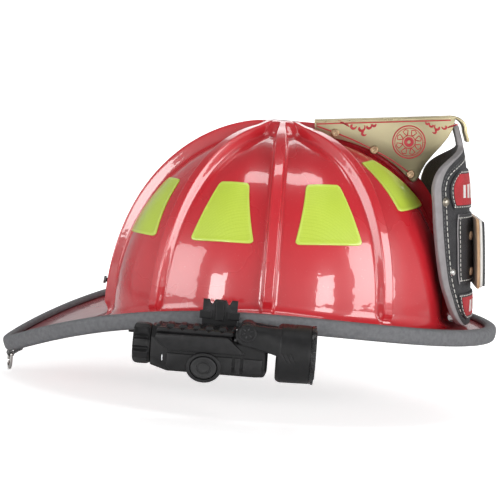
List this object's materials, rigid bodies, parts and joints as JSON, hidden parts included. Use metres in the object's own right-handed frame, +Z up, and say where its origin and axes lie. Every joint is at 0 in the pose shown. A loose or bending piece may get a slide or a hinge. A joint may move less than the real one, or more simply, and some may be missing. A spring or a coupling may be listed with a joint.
{
  "type": "firefighter helmet",
  "caption": "Traditional-style firefighter helmet with ribbed shell, wide edged brim, brass front holder, leather front shield, head suspension and clip-on tilting light.",
  "frame": {"origin": "on the centre plane of the shell at headband level, 4 mm in front of the crown axis", "axes": "+X to the front of the helmet, +Y to the wearer's left, +Z up through the crown"},
  "size_m": [0.3936, 0.3227, 0.2317],
  "materials": {
    "shell_red": "gloss",
    "trim_grey": "textured matte",
    "reflex_yellow": "prismatic",
    "brass": "satin",
    "brass_screw": "polished",
    "black_leather": "grained",
    "red_leather": "grained",
    "tan_leather": "raw",
    "white_leather": "smooth",
    "steel": "polished",
    "black_steel": "satin",
    "foam": "foam",
    "webbing": "woven",
    "band_plastic": "satin",
    "pad_fabric": "padded",
    "flap_fabric": "woven",
    "light_black": "moulded",
    "switch_rubber": "matte",
    "lens_clear": "clear",
    "reflector_mirror": "mirror",
    "board_green": "matte",
    "cell_wrap": "gloss"
  },
  "bodies": {
    "helmet": {"outer_shell": "shell_red", "edge_trim": "trim_grey", "reflective_patches": "reflex_yellow", "front_holder": "brass", "holder_screws": "brass_screw", "holder_nuts": "brass_screw", "rear_rib_screw": "black_steel", "shield_base": "black_leather", "shield_center_panel": "black_leather", "shield_upper_banner": "red_leather", "shield_lower_banner": "red_leather", "number_plate_backing": "tan_leather", "number_plate": "white_leather", "shield_rivets": "steel", "plate_spacers": "steel", "ring_bracket": "black_steel", "bracket_rivet": "black_steel", "impact_liner": "foam", "crown_straps": "webbing", "headband": "band_plastic", "brow_pad": "pad_fabric", "headband_hangers": "band_plastic", "ear_neck_protector": "flap_fabric", "chin_strap": "webbing", "buckle_socket": "band_plastic", "buckle_plug": "band_plastic", "brim_clip": "light_black", "clip_screw": "black_steel"},
    "nape": {"nape_band": "band_plastic", "nape_pad": "pad_fabric", "ratchet_housing": "band_plastic"},
    "knob": {"ratchet_knob": "band_plastic", "ratchet_pinion": "band_plastic"},
    "light": {"light_case": "light_black", "battery_cells": "cell_wrap", "battery_plates": "board_green", "contact_spring": "steel", "driver_board": "board_green"},
    "tail_cap": {"light_tail_cap": "light_black", "tail_cap_o_ring": "switch_rubber"},
    "button": {"light_button": "switch_rubber"},
    "light_head_body": {"light_head": "light_black", "head_pivot_pin": "steel", "light_bezel": "light_black", "light_lens": "lens_clear", "light_reflector": "reflector_mirror", "light_emitter": "board_green"},
    "ring": {"hang_ring": "steel"}
  },
  "joints": [
    {"name": "ring_swing", "type": "hinge", "parent": "helmet", "child": "ring", "pos_m": [-0.2085, 0, -0.0469], "axis": [-0.309, 0.9511, 0], "range_deg": [-75, 75]},
    {"name": "nape_adjust", "type": "slide", "parent": "helmet", "child": "nape", "axis": [1, 0, 0], "range_m": [0, 0.015]},
    {"name": "knob_turn", "type": "hinge", "parent": "nape", "child": "knob", "pos_m": [-0.1052, 0, -0.0105], "axis": [1, 0, 0], "range_deg": [0, 205]},
    {"name": "light_slide", "type": "slide", "parent": "helmet", "child": "light", "axis": [1, 0, 0], "range_m": [-0.01, 0.012]},
    {"name": "head_tilt", "type": "hinge", "parent": "light", "child": "light_head_body", "pos_m": [-0.016, -0.162, 0.0124], "axis": [0, -1, 0], "range_deg": [-5, 60]},
    {"name": "tail_cap_turn", "type": "hinge", "parent": "light", "child": "tail_cap", "pos_m": [-0.0835, -0.162, -0.003], "axis": [1, 0, 0], "continuous": true},
    {"name": "button_press", "type": "slide", "parent": "light", "child": "button", "axis": [0, 1, 0], "range_m": [0, 0.0014]}
  ],
  "couplings": [
    {"joint": "knob_turn", "follows": "nape_adjust", "rad_per_m": 238.1}
  ]
}
